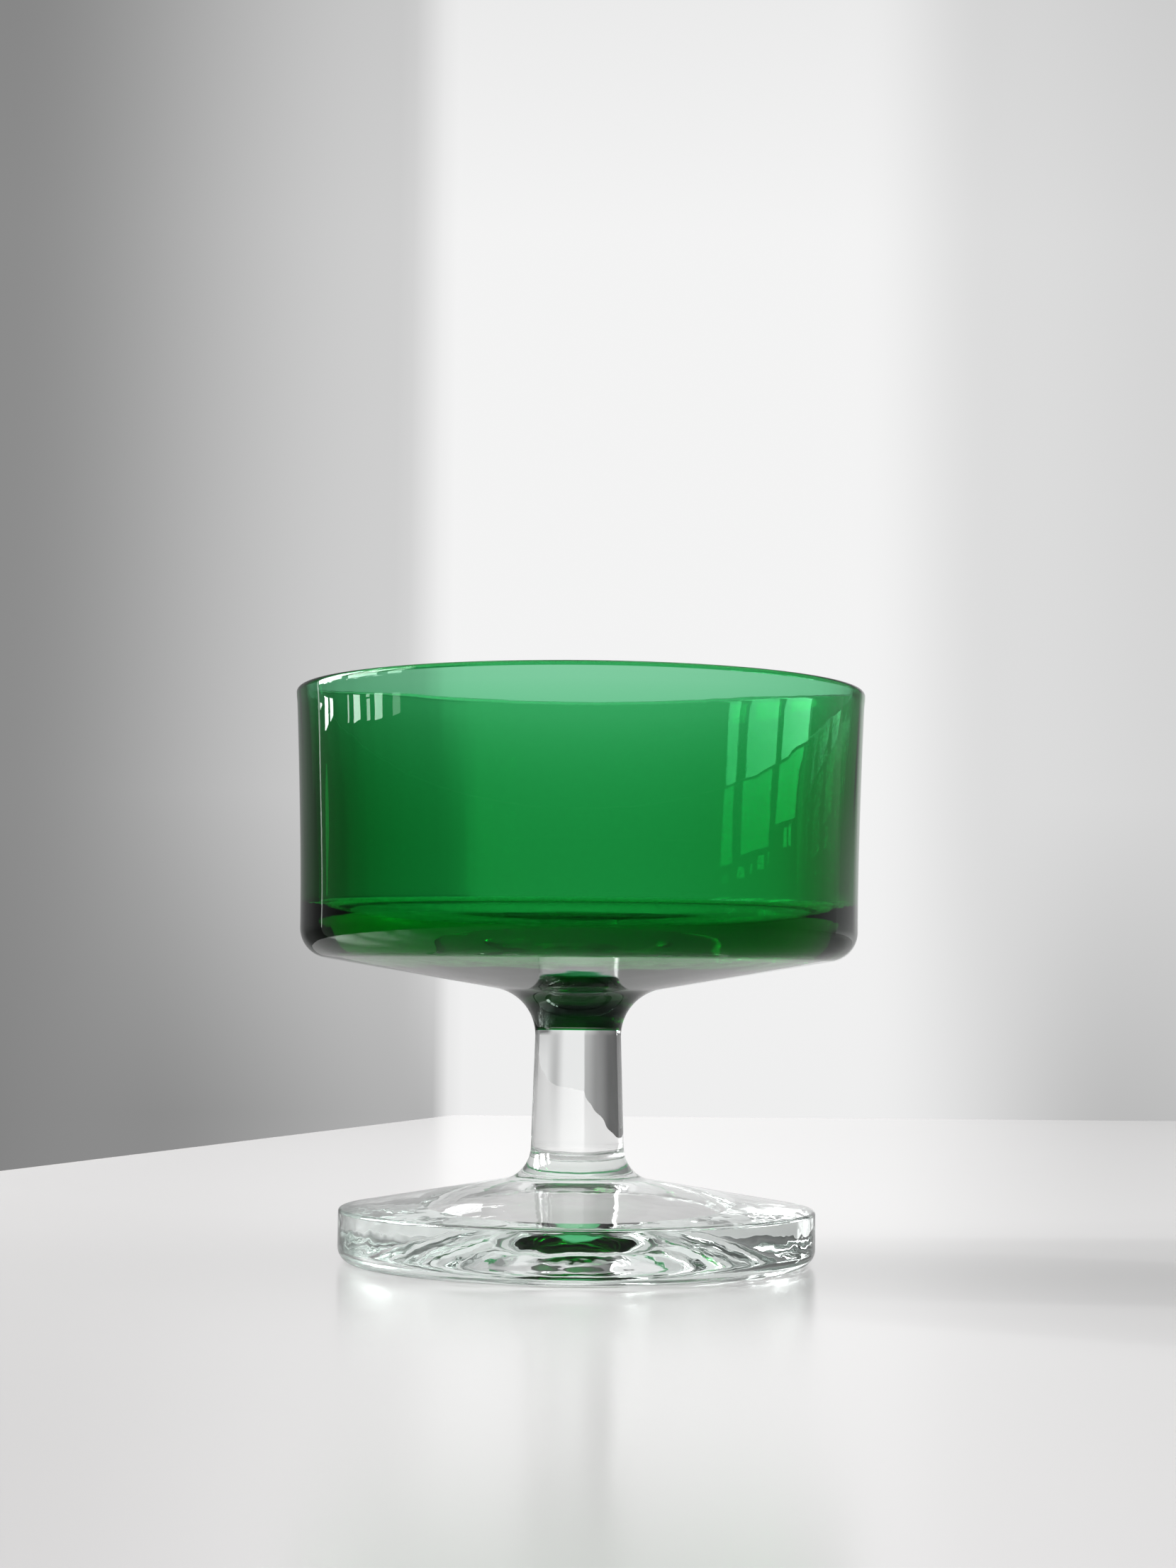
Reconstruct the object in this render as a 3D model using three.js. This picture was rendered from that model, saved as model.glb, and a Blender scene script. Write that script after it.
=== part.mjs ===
// A champagne coupe: a green glass bowl with a solid neck, fused to a clear stem on a clear foot.
// Every piece is a solid of revolution about Z. The origin is the centre of the ring that it stands on.
import * as THREE from "three";

// Driving dimensions, in millimetres, with slopes in degrees.

// Foot
const FOOT_DIAMETER = 70.5;
const FOOT_EDGE_HEIGHT = 7.9;
const FOOT_TOP_SLOPE = 9.7;
const FOOT_TOP_ROUNDING = 0.6;
const FOOT_BOTTOM_ROUNDING = 2.4;
const RECESS_DIAMETER = 46;
const RECESS_SLOPE = 26;
const RECESS_DOME_ROUNDING = 38;
const BOSS_ROUNDING = 5;

// Stem
const STEM_LOWER_DIAMETER = 13.8;
const STEM_UPPER_DIAMETER = 12.8;
const STEM_LENGTH = 16.4;

// Neck and base of the bowl
const NECK_ROUNDING = 7;
const NECK_SEAM_RISE = 1.2;
const NECK_SOLID_LENGTH = 5.6;
const UNDERSIDE_SLOPE = 9.6;
const BASE_ROUNDING = 4.5;

// Cup of the bowl
const CUP_DEPTH = 44.5;
const CUP_FLOOR_SLOPE = 11.5;
const CUP_CORNER_ROUNDING = 6.5;
const WALL_FOOT_DIAMETER = 82.9;
const WALL_THICKNESS = 2.6;
const WALL_OUTER_KNEE = 12.6;
const WALL_INNER_KNEE = 14.8;
const RIM_DIAMETER = 85;
const LIP_THICKNESS = 2.1;

// Facets: around the axis, along a quarter turn of an outline's arc, and along a wall's curve
const TURN_FACETS = 64;
const QUARTER_FACETS = 6;
const WALL_FACETS = 6;

const footRadius = FOOT_DIAMETER / 2;
const recessRadius = RECESS_DIAMETER / 2;
const stemLowerRadius = STEM_LOWER_DIAMETER / 2;
const stemUpperRadius = STEM_UPPER_DIAMETER / 2;
const wallFootRadius = WALL_FOOT_DIAMETER / 2;
const cupRadius = wallFootRadius - WALL_THICKNESS;
const rimRadius = RIM_DIAMETER / 2;
const lipRadius = LIP_THICKNESS / 2;
const footTopRise = Math.tan(THREE.MathUtils.degToRad(FOOT_TOP_SLOPE));
const undersideRise = Math.tan(THREE.MathUtils.degToRad(UNDERSIDE_SLOPE));
const cupFloorRise = Math.tan(THREE.MathUtils.degToRad(CUP_FLOOR_SLOPE));

const point = (radius, height) => new THREE.Vector2(radius, height);

// Length of each straight run that a rounding takes up, where a slope meets a line parallel to the axis.
function roundingReach(rounding, slope) {
  return rounding * Math.tan(THREE.MathUtils.degToRad(90 - slope) / 2);
}

// Points of an arc, from one angle to the other, measured from the outward radius.
function arc(centre, radius, from, to) {
  const steps = Math.max(4, Math.ceil((Math.abs(to - from) / (Math.PI / 2)) * QUARTER_FACETS));
  return Array.from({ length: steps + 1 }, (_, i) => {
    const angle = THREE.MathUtils.lerp(from, to, i / steps);
    return point(centre.x + radius * Math.cos(angle), centre.y + radius * Math.sin(angle));
  });
}

// Points of the arc that rounds the corner between two straight runs and touches both.
function roundedCorner(before, corner, after, rounding) {
  const back = before.clone().sub(corner).normalize();
  const ahead = after.clone().sub(corner).normalize();
  const halfAngle = Math.acos(back.dot(ahead)) / 2;
  const inward = back.clone().add(ahead).normalize();
  const centre = corner.clone().addScaledVector(inward, rounding / Math.sin(halfAngle));
  const reach = rounding / Math.tan(halfAngle);
  const start = corner.clone().addScaledVector(back, reach).sub(centre);
  const end = corner.clone().addScaledVector(ahead, reach).sub(centre);
  const turn = Math.atan2(start.cross(end), start.dot(end));
  return arc(centre, rounding, start.angle(), start.angle() + turn);
}

// Points of a wall's curve. It leaves its foot parallel to the axis, and the knee is where its end
// tangent crosses that line, as a height above the foot.
function wallCurve(foot, knee, top) {
  const bend = point(foot.x, foot.y + knee);
  return new THREE.QuadraticBezierCurve(foot, bend, top).getPoints(WALL_FACETS);
}

// Heights that follow from the dimensions, from the table up.
const bossCornerHeight = FOOT_EDGE_HEIGHT + (footRadius - stemLowerRadius) * footTopRise;
const footSeamHeight = bossCornerHeight + roundingReach(BOSS_ROUNDING, FOOT_TOP_SLOPE);
const neckFootHeight = footSeamHeight + STEM_LENGTH;
const neckSeamHeight = neckFootHeight + NECK_SEAM_RISE;
const neckCornerHeight = neckFootHeight + roundingReach(NECK_ROUNDING, UNDERSIDE_SLOPE);
const baseCornerHeight = neckCornerHeight + (wallFootRadius - stemUpperRadius) * undersideRise;
const wallFootHeight = baseCornerHeight + roundingReach(BASE_ROUNDING, UNDERSIDE_SLOPE);
const cupCentreHeight = neckSeamHeight + NECK_SOLID_LENGTH;
const cupCornerHeight = cupCentreHeight + cupRadius * cupFloorRise;
const cupWallFootHeight = cupCornerHeight + roundingReach(CUP_CORNER_ROUNDING, CUP_FLOOR_SLOPE);
const rimHeight = cupCentreHeight + CUP_DEPTH;
const lipHeight = rimHeight - lipRadius;

// The neck's curve is one arc. The seam cuts it, so its lowest stretch belongs to the stem.
const neckCentre = point(stemUpperRadius + NECK_ROUNDING, neckFootHeight);
const neckSeamAngle = Math.PI - Math.asin(NECK_SEAM_RISE / NECK_ROUNDING);
const neckTopAngle = Math.PI / 2 + THREE.MathUtils.degToRad(UNDERSIDE_SLOPE);

// The recess under the foot is a cone whose tip is rounded into a dome.
const recessTurn = THREE.MathUtils.degToRad(RECESS_SLOPE);
const domeRadius = RECESS_DOME_ROUNDING * Math.sin(recessTurn);
const domeEdgeHeight = (recessRadius - domeRadius) * Math.tan(recessTurn);
const domeCentre = point(0, domeEdgeHeight - RECESS_DOME_ROUNDING * Math.cos(recessTurn));

function footOutline() {
  const bottomCorner = point(footRadius, 0);
  const topCorner = point(footRadius, FOOT_EDGE_HEIGHT);
  const bossCorner = point(stemLowerRadius, bossCornerHeight);
  const seamEdge = point(stemLowerRadius, footSeamHeight);
  return [
    ...arc(domeCentre, RECESS_DOME_ROUNDING, Math.PI / 2, Math.PI / 2 - recessTurn),
    point(recessRadius, 0),
    ...roundedCorner(point(recessRadius, 0), bottomCorner, topCorner, FOOT_BOTTOM_ROUNDING),
    ...roundedCorner(bottomCorner, topCorner, bossCorner, FOOT_TOP_ROUNDING),
    ...roundedCorner(topCorner, bossCorner, seamEdge, BOSS_ROUNDING),
    point(0, footSeamHeight),
  ];
}

function stemOutline() {
  return [
    point(0, footSeamHeight),
    point(stemLowerRadius, footSeamHeight),
    ...arc(neckCentre, NECK_ROUNDING, Math.PI, neckSeamAngle),
    point(0, neckSeamHeight),
  ];
}

function bowlOutline() {
  const neckCorner = point(stemUpperRadius, neckCornerHeight);
  const baseCorner = point(wallFootRadius, baseCornerHeight);
  const outerFoot = point(wallFootRadius, wallFootHeight);
  const outerLip = point(rimRadius, lipHeight);
  const innerFoot = point(cupRadius, cupWallFootHeight);
  const innerLip = point(rimRadius - LIP_THICKNESS, lipHeight);
  const cupCorner = point(cupRadius, cupCornerHeight);
  const cupCentre = point(0, cupCentreHeight);
  return [
    point(0, neckSeamHeight),
    ...arc(neckCentre, NECK_ROUNDING, neckSeamAngle, neckTopAngle),
    ...roundedCorner(neckCorner, baseCorner, outerFoot, BASE_ROUNDING).slice(0, -1),
    ...wallCurve(outerFoot, WALL_OUTER_KNEE, outerLip),
    ...arc(point(rimRadius - lipRadius, lipHeight), lipRadius, 0, Math.PI).slice(1, -1),
    ...wallCurve(innerFoot, WALL_INNER_KNEE, innerLip).reverse(),
    ...roundedCorner(innerFoot, cupCorner, cupCentre, CUP_CORNER_ROUNDING).slice(1),
    cupCentre,
  ];
}

const glass = (color) => new THREE.MeshStandardMaterial({ color, roughness: 0.05, metalness: 0 });

// Turns an outline about the axis into a named mesh that stands along Z.
function turned(name, outline, material) {
  const geometry = new THREE.LatheGeometry(outline, TURN_FACETS).rotateX(Math.PI / 2);
  const mesh = new THREE.Mesh(geometry, material);
  mesh.name = name;
  return mesh;
}

const greenGlass = glass("#1f8c46");
const clearGlass = glass("#e6efe9");

const coupe = new THREE.Group();
coupe.add(turned("foot", footOutline(), clearGlass));
coupe.add(turned("stem", stemOutline(), clearGlass));
coupe.add(turned("bowl", bowlOutline(), greenGlass));

export default coupe;
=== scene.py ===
# %% [markdown]
# This lesson dresses a champagne coupe: a green glass bowl on a solid neck, fused to a clear stem and a
# clear foot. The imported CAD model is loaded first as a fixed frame. Everything is in metres in that
# frame: height 0 is the ring that the glass stands on, and Z is the axis that every piece is turned about.

# %% Load the frame
import math

import bpy
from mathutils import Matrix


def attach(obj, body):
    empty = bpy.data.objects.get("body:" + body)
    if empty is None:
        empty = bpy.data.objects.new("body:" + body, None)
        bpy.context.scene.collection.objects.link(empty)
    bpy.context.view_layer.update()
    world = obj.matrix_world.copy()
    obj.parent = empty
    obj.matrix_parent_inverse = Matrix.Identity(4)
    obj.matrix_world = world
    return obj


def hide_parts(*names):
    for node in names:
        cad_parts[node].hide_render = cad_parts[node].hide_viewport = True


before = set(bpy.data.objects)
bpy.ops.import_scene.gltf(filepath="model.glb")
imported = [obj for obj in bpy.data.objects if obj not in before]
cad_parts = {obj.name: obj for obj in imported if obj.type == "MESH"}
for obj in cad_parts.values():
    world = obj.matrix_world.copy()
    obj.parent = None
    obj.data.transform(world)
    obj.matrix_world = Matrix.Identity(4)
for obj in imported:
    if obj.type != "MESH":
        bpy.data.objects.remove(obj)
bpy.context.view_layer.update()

# %% [markdown]
# The camera stands low on the table and looks slightly up at the bowl, as in the photograph. A long lens
# from further off could give the same size, but the flat ellipses of the rim and the foot fix the
# distance, so the lens follows from it. The small roll is the tilt of the photograph.

# %% Camera
PHOTO_WIDTH, PHOTO_HEIGHT = 1659, 2212
FOCAL_LENGTH_PIXELS = 3850
SENSOR_MM = 36
CAMERA_PLACE = (0.0014, -0.408, 0.0413)
CAMERA_LEVEL, CAMERA_PITCH, CAMERA_ROLL = 90, 4.15, -0.47
CLIP_START = 0.01

bpy.ops.object.camera_add(
    location=CAMERA_PLACE,
    rotation=(math.radians(CAMERA_LEVEL + CAMERA_PITCH), math.radians(CAMERA_ROLL), 0),
)
camera = bpy.context.object
camera.data.sensor_width = SENSOR_MM
camera.data.lens = SENSOR_MM * FOCAL_LENGTH_PIXELS / max(PHOTO_WIDTH, PHOTO_HEIGHT)
camera.data.clip_start = CLIP_START
bpy.context.scene.camera = camera
print("Lens in millimetres:", round(camera.data.lens, 2))

# %% [markdown]
# Light takes many turns inside thick glass, so the limits on its bounces are raised. Caustics are off,
# because the clear pieces will cast no shadow: light that passes them straight would be counted twice.
# Colours are shown by the plain Standard view, because a film-like one would grey the green.

# %% Light paths
GLASS_BOUNCES, MIRROR_BOUNCES = 24, 16

scene = bpy.context.scene
scene.view_settings.view_transform = "Standard"
scene.cycles.max_bounces = GLASS_BOUNCES
scene.cycles.transmission_bounces = GLASS_BOUNCES
scene.cycles.glossy_bounces = MIRROR_BOUNCES
scene.cycles.caustics_refractive = False
print("Bounces in glass:", GLASS_BOUNCES)

# %% [markdown]
# The finishes below are built from a few kinds of nodes, over and over: a number that is mapped from one
# range to another, a mix of two colours, and a ramp of grey tones. Three helpers make them, so that each
# finish can be read as a recipe. A mix takes a plain colour or the output of another node.

# %% Node helpers
MIX_SHARE, MIX_FIRST, MIX_SECOND, MIX_RESULT = 0, 6, 7, 2
RANGE_SOCKETS = ("From Min", "From Max", "To Min", "To Max")


def grey(tone):
    return (tone, tone, tone, 1)


def new_material(name):
    material = bpy.data.materials.new(name)
    material.use_nodes = True
    return material, material.node_tree


def map_range(tree, value, start, end, first=0, last=1):
    node = tree.nodes.new("ShaderNodeMapRange")
    for socket, number in zip(RANGE_SOCKETS, (start, end, first, last)):
        node.inputs[socket].default_value = number
    tree.links.new(value, node.inputs["Value"])
    return node.outputs["Result"]


def colour_mix(tree, share, first, second):
    mix = tree.nodes.new("ShaderNodeMix")
    mix.data_type = "RGBA"
    tree.links.new(share, mix.inputs[MIX_SHARE])
    for socket, colour in ((MIX_FIRST, first), (MIX_SECOND, second)):
        if isinstance(colour, tuple):
            mix.inputs[socket].default_value = colour
        else:
            tree.links.new(colour, mix.inputs[socket])
    return mix.outputs[MIX_RESULT]


def tone_ramp(tree, share, stops, blend="LINEAR"):
    ramp = tree.nodes.new("ShaderNodeValToRGB")
    ramp.color_ramp.interpolation = blend
    elements = ramp.color_ramp.elements
    for place, tone in stops[1:-1]:
        elements.new(place).color = grey(tone)
    elements[0].color, elements[-1].color = grey(stops[0][1]), grey(stops[-1][1])
    tree.links.new(share, ramp.inputs["Fac"])
    return ramp.outputs["Color"]


print("Helpers:", [helper.__name__ for helper in (map_range, colour_mix, tone_ramp)])

# %% [markdown]
# Clear glass has no colour of its own: it shows what stands around it. So the stage comes before the
# glass. The world is a plain room, dim in front, where the camera stands, lighter at the back, dimmer
# again on the side of the window, and with a pale ceiling. One flat grey would be simpler. But the edges
# of the glass bend the view far to the side, and they are darker than the middle only if the room is. The
# ceiling shines down through the bowl, so that the green of the neck glows in the foot.

# %% Room
ROOM_TONES = ((0, 0.1), (0.55, 0.2), (1, 0.5))
ROOM_CEILING, CEILING_START, CEILING_FULL = 0.95, 0.6, 0.9
WINDOW_WALL_SHARE, WINDOW_WALL_START, WINDOW_WALL_END = 0.3, -0.4, -0.9

world = bpy.data.worlds.new("room")
scene.world = world
world.use_nodes = True
room = world.node_tree
room.nodes.clear()
direction = room.nodes.new("ShaderNodeTexCoord")
direction_parts = room.nodes.new("ShaderNodeSeparateXYZ")
room.links.new(direction.outputs["Generated"], direction_parts.inputs["Vector"])
to_the_side, to_the_back, upwards = (direction_parts.outputs[axis] for axis in "XYZ")
walls = tone_ramp(room, map_range(room, to_the_back, -1, 1), ROOM_TONES)
ceiling_share = map_range(room, upwards, CEILING_START, CEILING_FULL)
window_wall = map_range(room, to_the_side, WINDOW_WALL_END, WINDOW_WALL_START, WINDOW_WALL_SHARE)
light = room.nodes.new("ShaderNodeBackground")
shown = room.nodes.new("ShaderNodeOutputWorld")
room.links.new(colour_mix(room, ceiling_share, walls, grey(ROOM_CEILING)), light.inputs["Color"])
room.links.new(window_wall, light.inputs["Strength"])
room.links.new(light.outputs["Background"], shown.inputs["Surface"])
print("Room tones from front to back:", [tone for place, tone in ROOM_TONES])

# %% [markdown]
# The floor is a pale table top that ends in front of a wall, with a slanting edge on the left. It lies a
# hair below the ring of the foot, because two surfaces at one height would flicker in the render.

# %% Floor
FLOOR_GAP = 0.00005
FLOOR_WIDTH, FLOOR_DEPTH = 6, 3
FLOOR_BACK_EDGE = 0.44
FLOOR_LEFT_BACK, FLOOR_LEFT_FRONT = -0.04, -1.01

bpy.ops.object.select_all(action="DESELECT")
bpy.ops.mesh.primitive_plane_add(size=1, location=(0, 0, -FLOOR_GAP))
floor = bpy.context.object
floor.name = "floor"
bpy.ops.object.mode_set(mode="EDIT")
bpy.ops.transform.resize(value=(FLOOR_WIDTH, FLOOR_DEPTH, 1))
bpy.ops.transform.translate(value=(0, FLOOR_BACK_EDGE - FLOOR_DEPTH / 2, 0))
bpy.ops.object.mode_set(mode="OBJECT")
for vertex in floor.data.vertices:
    if vertex.co.x < 0:
        vertex.co.x = FLOOR_LEFT_BACK if vertex.co.y > 0 else FLOOR_LEFT_FRONT
print("Floor:", [round(side, 3) for side in floor.dimensions])

# %% [markdown]
# Seen this flat, a real table takes much of its paleness from gloss, and its own colour is darker than it
# looks. A second, darker tone keeps that apart: the Light Path node knows which rays come from the camera,
# which come through glass and which are mirrored. The camera sees the pale table. The glass mirrors the
# darker one, so that the black-green neck isn't veiled. Rays that come through the glass see the pale table
# too, with a painted shade that darkens it close to the foot, where the bowl shades it.

# %% Floor finish
TABLE_SEEN, TABLE_MIRRORED = 0.74, 0.41
TABLE_THROUGH_GLASS, TABLE_PAINTED_SHADE = 0.8, 0.64
TABLE_WARMTH = 0.985
SHADE_INNER, SHADE_OUTER = 0.03, 0.09
TABLE_ROUGHNESS, TABLE_IOR = 0.2, 1.6


def table_tone(tone):
    return (tone, TABLE_WARMTH * tone, TABLE_WARMTH * tone, 1)


pale, table = new_material("pale_floor")
table_shader = table.nodes["Principled BSDF"]
table_shader.inputs["Roughness"].default_value = TABLE_ROUGHNESS
table_shader.inputs["IOR"].default_value = TABLE_IOR
path = table.nodes.new("ShaderNodeLightPath")
table_place = table.nodes.new("ShaderNodeTexCoord")
reach = table.nodes.new("ShaderNodeVectorMath")
reach.operation = "LENGTH"
table.links.new(table_place.outputs["Object"], reach.inputs[0])
# Painted shade: rays through the glass see the table darker towards the foot.
shade = map_range(table, reach.outputs["Value"], SHADE_INNER, SHADE_OUTER)
through_glass = colour_mix(table, shade, table_tone(TABLE_PAINTED_SHADE), table_tone(TABLE_THROUGH_GLASS))
by_glass = colour_mix(table, path.outputs["Is Transmission Ray"], table_tone(TABLE_MIRRORED), through_glass)
by_camera = colour_mix(table, path.outputs["Is Camera Ray"], by_glass, table_tone(TABLE_SEEN))
table.links.new(by_camera, table_shader.inputs["Base Color"])
floor.data.materials.append(pale)
print("Table tones, seen and mirrored:", TABLE_SEEN, TABLE_MIRRORED)

# %% [markdown]
# The backdrop is a plain upright sheet behind the table. It reaches below the table top, so that no gap
# shows at the slanting edge, and far enough to the sides for the rays that the glass bends outwards.

# %% Backdrop
WALL_PLACE, WALL_HALF_WIDTH = 0.45, 0.6
WALL_BOTTOM, WALL_TOP = -0.3, 0.8
UPRIGHT = math.radians(90)

bpy.ops.object.select_all(action="DESELECT")
bpy.ops.mesh.primitive_plane_add(size=1, rotation=(UPRIGHT, 0, 0))
wall = bpy.context.object
wall.name = "backdrop"
bpy.ops.object.transform_apply(rotation=True)
bpy.ops.object.mode_set(mode="EDIT")
bpy.ops.transform.resize(value=(2 * WALL_HALF_WIDTH, 1, WALL_TOP - WALL_BOTTOM))
bpy.ops.transform.translate(value=(0, WALL_PLACE, (WALL_TOP + WALL_BOTTOM) / 2))
bpy.ops.object.mode_set(mode="OBJECT")
print("Backdrop:", [round(side, 3) for side in wall.dimensions])

# %% [markdown]
# The wall has one broad, soft band of light on it. A lamp could throw that band, but an emission shader
# with a ramp of grey tones looks the same to the camera and to the rays that the glass bends towards it.
# The wall is darker near the table, so there is one ramp for low down, one for the height of the bowl, and
# a blend by height between them. Each stop is a place across the wall and a tone. Far up, the wall fades:
# the hollow of the foot mirrors that part, and would turn white.

# %% Backdrop finish
HIGH_TONES = (
    (-WALL_HALF_WIDTH, 0.1), (-0.19, 0.26), (-0.06, 0.62), (-0.042, 0.9), (0.085, 0.9),
    (0.13, 0.72), (0.2, 0.66), (0.3, 0.2), (WALL_HALF_WIDTH, 0.25),
)
LOW_TONES = (
    (-WALL_HALF_WIDTH, 0.05), (-0.3, 0.1), (-0.14, 0.26), (-0.048, 0.44), (-0.04, 0.86),
    (0.085, 0.86), (0.17, 0.5), (0.3, 0.8), (WALL_HALF_WIDTH, 0.8),
)
LOW_HEIGHT, HIGH_HEIGHT = 0.0, 0.1
FADE_START, FADE_SHARE = 0.28, 0.5

lit_wall, paint = new_material("lit_wall")
paint.nodes.remove(paint.nodes["Principled BSDF"])
wall_place = paint.nodes.new("ShaderNodeTexCoord")
wall_parts = paint.nodes.new("ShaderNodeSeparateXYZ")
paint.links.new(wall_place.outputs["Object"], wall_parts.inputs["Vector"])
across, height = wall_parts.outputs["X"], wall_parts.outputs["Z"]
across_share = map_range(paint, across, -WALL_HALF_WIDTH, WALL_HALF_WIDTH)


def wall_band(tones):
    stops = [((place + WALL_HALF_WIDTH) / (2 * WALL_HALF_WIDTH), tone) for place, tone in tones]
    return tone_ramp(paint, across_share, stops, "EASE")


height_share = map_range(paint, height, LOW_HEIGHT, HIGH_HEIGHT)
by_height = colour_mix(paint, height_share, wall_band(LOW_TONES), wall_band(HIGH_TONES))
fade = map_range(paint, height, FADE_START, WALL_TOP, 1, FADE_SHARE)
glow = paint.nodes.new("ShaderNodeEmission")
paint.links.new(by_height, glow.inputs["Color"])
paint.links.new(fade, glow.inputs["Strength"])
paint.links.new(glow.outputs["Emission"], paint.nodes["Material Output"].inputs["Surface"])
wall.data.materials.append(lit_wall)
print("Backdrop bands of", len(LOW_TONES), "and", len(HIGH_TONES), "tones")

# %% [markdown]
# Three tall soft panes stand on the left, like those of a window. They light the table and give the bowl
# its long upright reflections, inside on the far wall. The small bright gaps below them are what the foot
# of a window lets through: the near wall mirrors them as short white dashes. Two narrow, brighter strips
# higher up make the glints on the foot, and one thin, dim strip beside the window draws the pale line down
# the left edge of the bowl. Each lamp is a row of near edge, far edge, bottom, top and brightness. An area
# lamp's power is four times its brightness times its area, so a row stays as bright when it is resized.

# %% Lamps
WINDOW_PLACE, GLINT_PLACE = -0.6, -0.599
FACING_RIGHT = math.radians(-90)
POWER_PER_BRIGHTNESS = 4
PANES = (
    (-0.191, -0.115, 0.112, 0.5, 11.5),
    (-0.058, 0.128, 0.115, 0.5, 11.5),
    (0.181, 0.417, 0.126, 0.5, 11.5),
)
LOW_GAPS = (
    (-0.179, -0.136, 0.099, 0.105, 4),
    (-0.084, -0.036, 0.1, 0.1075, 11),
    (-0.011, 0.006, 0.101, 0.107, 8),
    (0.05, 0.09, 0.103, 0.111, 11),
    (0.126, 0.14, 0.105, 0.112, 6),
    (0.262, 0.298, 0.114, 0.123, 11),
    (0.317, 0.352, 0.1145, 0.124, 11),
)
EDGE_STRIP = (0.43, 0.47, 0.03, 0.8, 1.6)
GLINTS = ((0.01, 0.035, 0.3, 0.75, 36), (0.29, 0.32, 0.3, 0.75, 36))

for lamp_place, rows in ((WINDOW_PLACE, (*PANES, *LOW_GAPS, EDGE_STRIP)), (GLINT_PLACE, GLINTS)):
    for near, far, bottom, top, brightness in rows:
        bpy.ops.object.light_add(
            type="AREA",
            location=(lamp_place, (near + far) / 2, (bottom + top) / 2),
            rotation=(0, FACING_RIGHT, 0),
        )
        lamp = bpy.context.object.data
        lamp.shape = "RECTANGLE"
        lamp.size, lamp.size_y = top - bottom, far - near
        lamp.energy = POWER_PER_BRIGHTNESS * brightness * lamp.size * lamp.size_y
print("Window of", len(PANES), "panes,", len(LOW_GAPS), "gaps and", len(GLINTS), "glints")

# %% [markdown]
# All three pieces are turned shapes, so each one starts as half of its section: an outline in the XZ
# plane, drawn as with a pen. A plane is merged to one vertex, extruded along the straight runs, and spun
# about the centre of each rounding, which gives true arcs. One more spin, about Z, turns the outline into
# the piece. A stack of primitives would be quicker, but its joints would show as lines in the glass. The
# pen works in millimetres, and it keeps its own place as a radius and a height.

# %% Pen
MM_PER_METRE = 1000
PEN_POINT = 2
ARC_STEP, FEWEST_ARC_STEPS = math.radians(5), 4
TURN_STEPS = 360
SMOOTH_ANGLE = math.radians(30)
MERGE_DISTANCE = 0.000001


def mm(value):
    return value / MM_PER_METRE


def pen_down(name, radius, height):
    bpy.ops.object.select_all(action="DESELECT")
    bpy.ops.mesh.primitive_plane_add(size=mm(PEN_POINT))
    bpy.context.object.name = name
    bpy.ops.object.mode_set(mode="EDIT")
    bpy.ops.mesh.merge(type="CENTER")
    bpy.ops.transform.translate(value=(mm(radius), 0, mm(height)))
    return [radius, height]


def pen_to(pen, radius, height):
    step = (mm(radius - pen[0]), 0, mm(height - pen[1]))
    bpy.ops.mesh.extrude_region_move(TRANSFORM_OT_translate={"value": step})
    pen[:] = radius, height


def pen_round(pen, centre, turn):
    steps = max(FEWEST_ARC_STEPS, round(abs(turn) / ARC_STEP))
    bpy.ops.mesh.spin(steps=steps, angle=turn, center=(mm(centre[0]), 0, mm(centre[1])), axis=(0, 1, 0))
    across, up = pen[0] - centre[0], pen[1] - centre[1]
    pen[:] = (
        centre[0] + across * math.cos(turn) - up * math.sin(turn),
        centre[1] + across * math.sin(turn) + up * math.cos(turn),
    )


def pen_up():
    bpy.ops.mesh.select_all(action="SELECT")
    bpy.ops.mesh.spin(steps=TURN_STEPS, angle=2 * math.pi, center=(0, 0, 0), axis=(0, 0, 1))
    bpy.ops.mesh.select_all(action="SELECT")
    bpy.ops.mesh.remove_doubles(threshold=MERGE_DISTANCE)
    bpy.ops.mesh.normals_make_consistent(inside=False)
    bpy.ops.object.mode_set(mode="OBJECT")
    bpy.ops.object.shade_smooth_by_angle(angle=SMOOTH_ANGLE)
    piece = bpy.context.object
    sides = [round(side * MM_PER_METRE, 2) for side in piece.dimensions]
    print(piece.name, sides, "mm,", len(piece.data.polygons), "faces")
    return piece


print("Pen with arc steps of", round(math.degrees(ARC_STEP), 1), "degrees")

# %% [markdown]
# The foot is a thick pressed disc. Its rim stands upright, its top rises in a shallow cone and swells into
# the boss that the stem grows from, and its underside is hollowed to a dome, so that it stands on a ring.
# The dome is a mirror for what is above it: this is why the green of the neck shows in the side of the
# clear foot. It is a single arc of a large sphere. A cone would be as easy to draw, but it would stretch
# the green into a narrow wedge.

# %% Foot
FOOT_RADIUS, FOOT_EDGE_HEIGHT, FOOT_TOP_SLOPE = 35.25, 7.9, math.radians(9.7)
FOOT_TOP_ROUNDING, FOOT_BOTTOM_ROUNDING, BOSS_ROUNDING = 0.6, 2.4, 5
RECESS_RADIUS, RECESS_DOME = 21.9, 38
STEM_LOWER_RADIUS = 6.9
QUARTER_TURN = math.pi / 2


def corner_reach(rounding, slope):
    return rounding * math.tan((QUARTER_TURN - slope) / 2)


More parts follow.
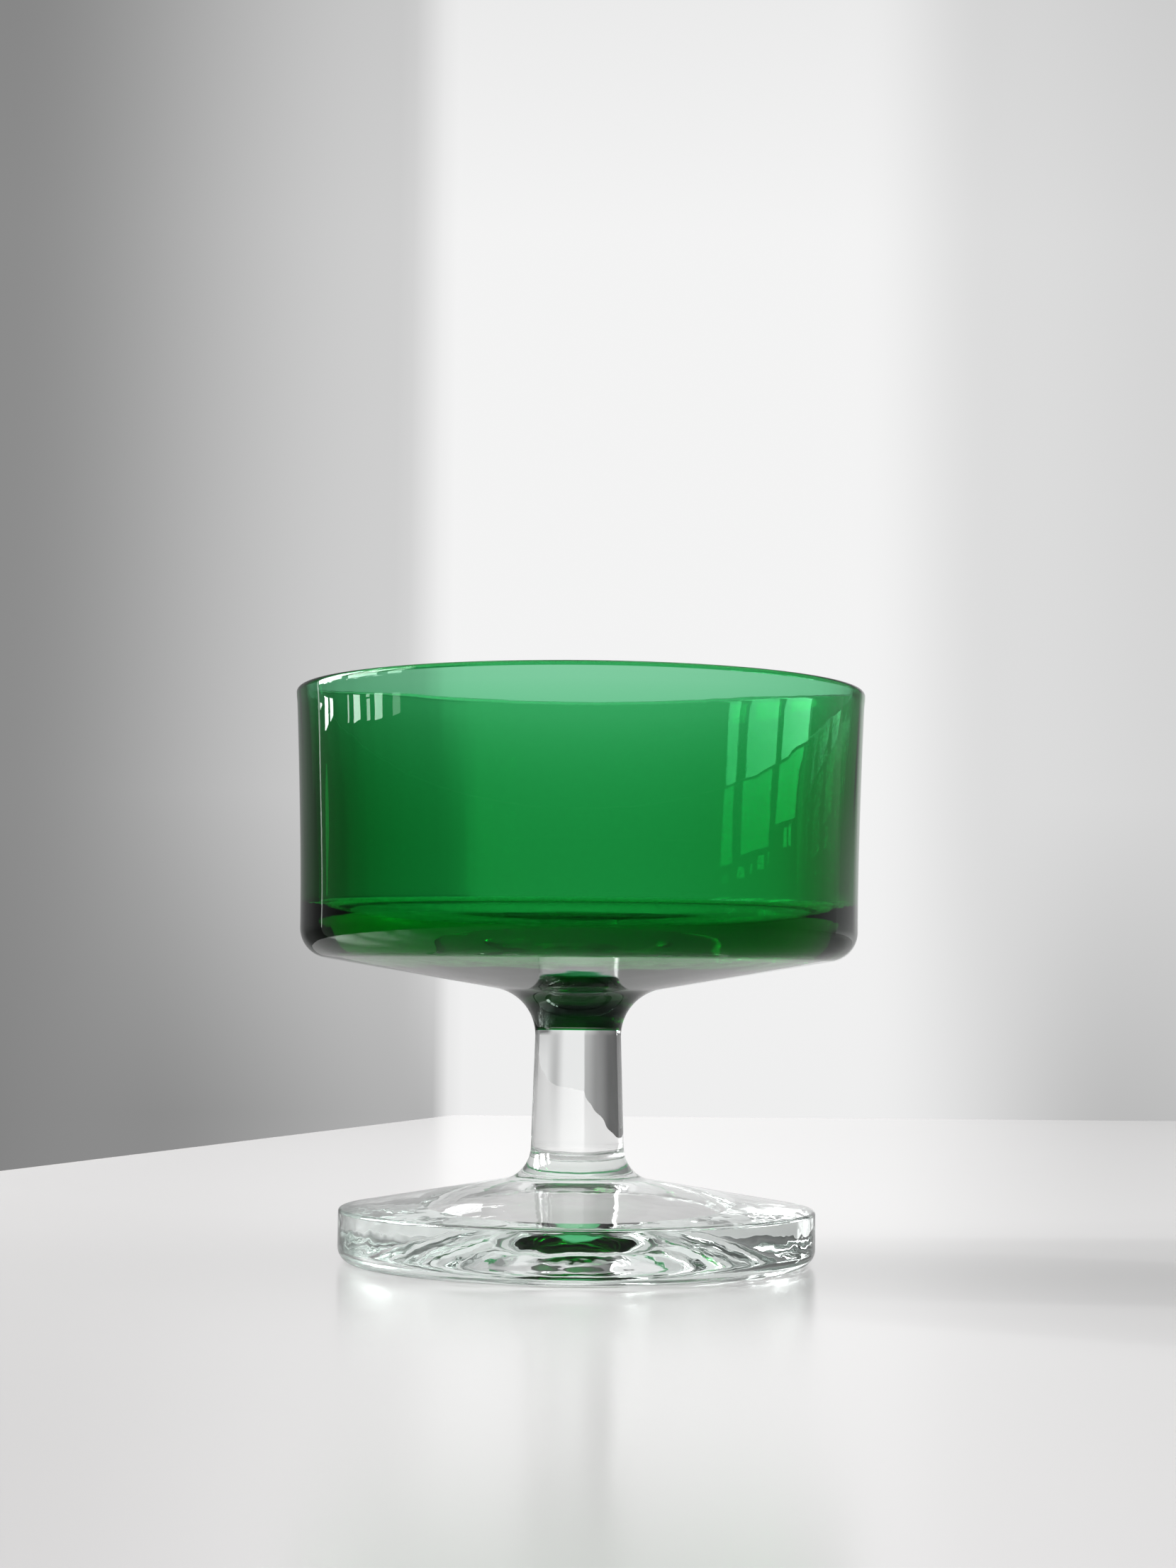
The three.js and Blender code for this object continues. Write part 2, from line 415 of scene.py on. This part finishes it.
boss_corner_height = FOOT_EDGE_HEIGHT + (FOOT_RADIUS - STEM_LOWER_RADIUS) * math.tan(FOOT_TOP_SLOPE)
foot_seam_height = boss_corner_height + corner_reach(BOSS_ROUNDING, FOOT_TOP_SLOPE)
recess_turn = math.asin(RECESS_RADIUS / RECESS_DOME)
recess_depth = RECESS_DOME * (1 - math.cos(recess_turn))
bottom_centre = (FOOT_RADIUS - FOOT_BOTTOM_ROUNDING, FOOT_BOTTOM_ROUNDING)
top_reach = corner_reach(FOOT_TOP_ROUNDING, FOOT_TOP_SLOPE)
top_centre = (FOOT_RADIUS - FOOT_TOP_ROUNDING, FOOT_EDGE_HEIGHT - top_reach)
boss_centre = (STEM_LOWER_RADIUS + BOSS_ROUNDING, foot_seam_height)

pen = pen_down("foot_glass", 0, recess_depth)
pen_round(pen, (0, recess_depth - RECESS_DOME), -recess_turn)
pen_to(pen, bottom_centre[0], 0)
pen_round(pen, bottom_centre, QUARTER_TURN)
pen_to(pen, FOOT_RADIUS, top_centre[1])
pen_round(pen, top_centre, QUARTER_TURN - FOOT_TOP_SLOPE)
pen_to(
    pen,
    boss_centre[0] - BOSS_ROUNDING * math.sin(FOOT_TOP_SLOPE),
    boss_centre[1] - BOSS_ROUNDING * math.cos(FOOT_TOP_SLOPE),
)
pen_round(pen, boss_centre, FOOT_TOP_SLOPE - QUARTER_TURN)
pen_to(pen, 0, foot_seam_height)
foot = pen_up()
print("Recess depth in millimetres:", round(recess_depth, 2))

# %% [markdown]
# The stem is a short clear rod, a little thicker below than above. Its top ends inside the curve of the
# neck, where the clear glass was fused to the green. The seams are a hair apart, so that a ray of light
# leaves one glass before it enters the next.

# %% Stem
STEM_UPPER_RADIUS, STEM_LENGTH = 6.4, 16.4
NECK_ROUNDING, NECK_SEAM_RISE = 7, 1.2
SEAM_GAP = 0.02

neck_foot_height = foot_seam_height + STEM_LENGTH
neck_centre = (STEM_UPPER_RADIUS + NECK_ROUNDING, neck_foot_height)
neck_seam_turn = math.asin(NECK_SEAM_RISE / NECK_ROUNDING)
neck_seam_height = neck_foot_height + NECK_SEAM_RISE

pen = pen_down("stem_glass", 0, foot_seam_height + SEAM_GAP)
pen_to(pen, STEM_LOWER_RADIUS, foot_seam_height + SEAM_GAP)
pen_to(pen, STEM_UPPER_RADIUS, neck_foot_height)
pen_round(pen, neck_centre, -neck_seam_turn)
pen_to(pen, 0, neck_seam_height)
stem = pen_up()

# %% [markdown]
# The bowl is one green piece: the neck flares into a shallow underside, a rounded corner turns up into the
# wall, and the wall leans out a little and thins towards a rounded lip, which turns out by a hair. Inside,
# the floor follows the underside at nearly the same distance, so that only the corner and the solid neck
# are thick, and they gather the deepest green.

# %% Bowl sizes
UNDERSIDE_SLOPE = math.radians(9.6)
NECK_SOLID, BASE_ROUNDING = 5.6, 4.5
CUP_DEPTH, CUP_FLOOR_SLOPE, CUP_CORNER_ROUNDING = 44.5, math.radians(11.5), 6.5
WALL_FOOT_RADIUS, WALL_THICKNESS, WALL_OUTER_KNEE, WALL_INNER_KNEE = 41.45, 2.6, 12.6, 14.8
RIM_RADIUS, LIP_THICKNESS = 42.5, 1.6

neck_corner_height = neck_foot_height + corner_reach(NECK_ROUNDING, UNDERSIDE_SLOPE)
underside_rise = (WALL_FOOT_RADIUS - STEM_UPPER_RADIUS) * math.tan(UNDERSIDE_SLOPE)
base_corner_height = neck_corner_height + underside_rise
wall_foot_height = base_corner_height + corner_reach(BASE_ROUNDING, UNDERSIDE_SLOPE)
base_centre = (WALL_FOOT_RADIUS - BASE_ROUNDING, wall_foot_height)
inner_radius = WALL_FOOT_RADIUS - WALL_THICKNESS
cup_centre_height = neck_seam_height + NECK_SOLID
cup_corner_height = cup_centre_height + inner_radius * math.tan(CUP_FLOOR_SLOPE)
cup_wall_foot_height = cup_corner_height + corner_reach(CUP_CORNER_ROUNDING, CUP_FLOOR_SLOPE)
cup_corner_centre = (inner_radius - CUP_CORNER_ROUNDING, cup_wall_foot_height)
rim_height = cup_centre_height + CUP_DEPTH
lip_radius = LIP_THICKNESS / 2
lip_height = rim_height - lip_radius
print("Rim height in millimetres:", round(rim_height, 2))

# %% [markdown]
# The outline starts at the middle of the neck's seam, runs up the outside, over the lip and down the
# inside, and ends on the axis at the lowest point of the cup. Each wall is a curve that leaves its foot
# upright and bends towards the lip over one knee, because two arcs would show a line where they meet.

# %% Bowl
LIP_FLARE, LIP_FLARE_HEIGHT = 0.14, 1.6
FLARE_KNEE_IN, FLARE_KNEE_DOWN = 0.3, 0.45
WALL_STEPS = 24


def pen_wall(pen, knee, end):
    corners = (tuple(pen), knee, end)
    for step in range(1, WALL_STEPS + 1):
        along = step / WALL_STEPS
        shares = ((1 - along) ** 2, 2 * along * (1 - along), along**2)
        place = [sum(share * corner[i] for share, corner in zip(shares, corners)) for i in (0, 1)]
        pen_to(pen, *place)


pen = pen_down("bowl_glass", 0, neck_seam_height + SEAM_GAP)
seam_radius = neck_centre[0] - NECK_ROUNDING * math.cos(neck_seam_turn)
pen_to(pen, seam_radius, neck_seam_height + SEAM_GAP)
pen_round(pen, neck_centre, neck_seam_turn - (QUARTER_TURN - UNDERSIDE_SLOPE))
pen_to(
    pen,
    base_centre[0] + BASE_ROUNDING * math.sin(UNDERSIDE_SLOPE),
    base_centre[1] - BASE_ROUNDING * math.cos(UNDERSIDE_SLOPE),
)
pen_round(pen, base_centre, QUARTER_TURN - UNDERSIDE_SLOPE)
outer_knee = (WALL_FOOT_RADIUS, wall_foot_height + WALL_OUTER_KNEE)
pen_wall(pen, outer_knee, (RIM_RADIUS - LIP_FLARE, lip_height - LIP_FLARE_HEIGHT))
pen_to(pen, RIM_RADIUS - FLARE_KNEE_IN * LIP_FLARE, lip_height - FLARE_KNEE_DOWN * LIP_FLARE_HEIGHT)
pen_to(pen, RIM_RADIUS, lip_height)
pen_round(pen, (RIM_RADIUS - lip_radius, lip_height), 2 * QUARTER_TURN)
inner_knee = (inner_radius, cup_wall_foot_height + WALL_INNER_KNEE)
pen_wall(pen, inner_knee, (inner_radius, cup_wall_foot_height))
pen_round(pen, cup_corner_centre, CUP_FLOOR_SLOPE - QUARTER_TURN)
pen_to(pen, 0, cup_centre_height)
bowl = pen_up()

# %% [markdown]
# A fused seam can't be seen in real glass: light passes it without bending. The flat faces at the seams
# are therefore marked with an attribute, and the glass materials read it to drop their refraction there.

# %% Seam marks
SEAMS = {
    foot: (foot_seam_height,),
    stem: (foot_seam_height + SEAM_GAP, neck_seam_height),
    bowl: (neck_seam_height + SEAM_GAP,),
}
LEVEL_NORMAL, SAME_HEIGHT = 0.999, 0.000001


def is_seam(face, heights):
    level = abs(face.normal.z) > LEVEL_NORMAL
    return float(level and any(abs(face.center.z - mm(height)) < SAME_HEIGHT for height in heights))


for piece, heights in SEAMS.items():
    marks = [is_seam(face, heights) for face in piece.data.polygons]
    piece.data.attributes.new("seam", "FLOAT", "FACE").data.foreach_set("value", marks)
    print(piece.name, "has", int(sum(marks)), "seam faces")

# %% [markdown]
# All the glass shares one skin: the faint ripple that working hot glass leaves. A node group makes it from
# one slow noise, with a scale for each axis. The bowl gets upright streaks, the drawn stem wide waves, and
# the pressed foot small dimples, which break the view through its side into the restless patches of real
# pressed glass. The same waves in the mesh would need far more faces.

# %% Skin
RIPPLE_DETAIL = 1.5

skin = bpy.data.node_groups.new("glass_skin", "ShaderNodeTree")
skin.interface.new_socket("Ripple Scale", in_out="INPUT", socket_type="NodeSocketVector")
skin.interface.new_socket("Height", in_out="OUTPUT", socket_type="NodeSocketFloat")
skin_in, skin_out = skin.nodes.new("NodeGroupInput"), skin.nodes.new("NodeGroupOutput")
skin_place = skin.nodes.new("ShaderNodeTexCoord")
stretch = skin.nodes.new("ShaderNodeVectorMath")
stretch.operation = "MULTIPLY"
noise = skin.nodes.new("ShaderNodeTexNoise")
noise.inputs["Scale"].default_value = 1
noise.inputs["Detail"].default_value = RIPPLE_DETAIL
skin.links.new(skin_place.outputs["Object"], stretch.inputs[0])
skin.links.new(skin_in.outputs["Ripple Scale"], stretch.inputs[1])
skin.links.new(stretch.outputs["Vector"], noise.inputs["Vector"])
skin.links.new(noise.outputs["Fac"], skin_out.inputs["Height"])
print("Skin group with", len(skin.nodes), "nodes")

# %% [markdown]
# Glass takes its colour from its depth. The surface itself is clear, and a volume absorbs light along the
# way through: a thin wall looks pale, and the solid neck nearly black. A tinted surface would look the same
# at any thickness, so it isn't used. The tint of the sheen is for the green bowl alone: it dims what the
# bowl mirrors head-on, so that the green stays deep. The clear glass has a trace of green as well, as the
# sand that it is melted from gives it. Each tint is a sheen, a colour and a density, and each ripple is a
# scale for the three axes and a depth in metres.

# %% Glass
GLASS_IOR = 1.5
GREEN_TINT = ((0.26, 0.5, 0.36), (0.013, 0.735, 0.365), 900)
CLEAR_TINT = ((1, 1, 1), (0.86, 0.93, 0.9), 14)
BLOWN_RIPPLE = ((170, 170, 20), 0.00005)
DRAWN_RIPPLE = ((130, 130, 130), 0.00008)
PRESSED_RIPPLE = ((240, 240, 240), 0.0001)


def glass_material(name, tint, ripple):
    sheen, colour, density = tint
    ripple_scale, ripple_depth = ripple
    material, tree = new_material(name)
    shader = tree.nodes["Principled BSDF"]
    shader.inputs["Base Color"].default_value = grey(1)
    shader.inputs["Specular Tint"].default_value = (*sheen, 1)
    shader.inputs["Roughness"].default_value = 0
    shader.inputs["IOR"].default_value = GLASS_IOR
    shader.inputs["Transmission Weight"].default_value = 1
    seam_mark = tree.nodes.new("ShaderNodeAttribute")
    seam_mark.attribute_name = "seam"
    bend = map_range(tree, seam_mark.outputs["Fac"], 0, 1, GLASS_IOR, 1)
    tree.links.new(bend, shader.inputs["IOR"])
    rippled = tree.nodes.new("ShaderNodeGroup")
    rippled.node_tree = skin
    rippled.inputs["Ripple Scale"].default_value = ripple_scale
    bump = tree.nodes.new("ShaderNodeBump")
    bump.inputs["Distance"].default_value = ripple_depth
    tree.links.new(rippled.outputs["Height"], bump.inputs["Height"])
    tree.links.new(bump.outputs["Normal"], shader.inputs["Normal"])
    depth = tree.nodes.new("ShaderNodeVolumeAbsorption")
    depth.inputs["Color"].default_value = (*colour, 1)
    depth.inputs["Density"].default_value = density
    tree.links.new(depth.outputs["Volume"], tree.nodes["Material Output"].inputs["Volume"])
    print(name, "absorbs", [round((1 - share) * density, 1) for share in colour], "per metre")
    return material


blown_glass = glass_material("green_glass", GREEN_TINT, BLOWN_RIPPLE)
drawn_glass = glass_material("drawn_clear_glass", CLEAR_TINT, DRAWN_RIPPLE)
pressed_glass = glass_material("pressed_clear_glass", CLEAR_TINT, PRESSED_RIPPLE)

# %% [markdown]
# Each piece gets its glass, stands for the CAD solid of its name and rides on the one body of the part. A
# renderer's shadow of glass is solid, while real clear glass passes the light on to the table, so the stem
# and the foot cast none. The green bowl keeps its shadow.

# %% Pieces
for piece, material, node, slot in (
    (bowl, blown_glass, "bowl", "green_glass"),
    (stem, drawn_glass, "stem", "clear_glass"),
    (foot, pressed_glass, "foot", "clear_glass"),
):
    piece.data.materials.append(material)
    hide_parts(node)
    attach(piece, "root")
    print(piece.name, "stands for", node)
stem.visible_shadow = foot.visible_shadow = False
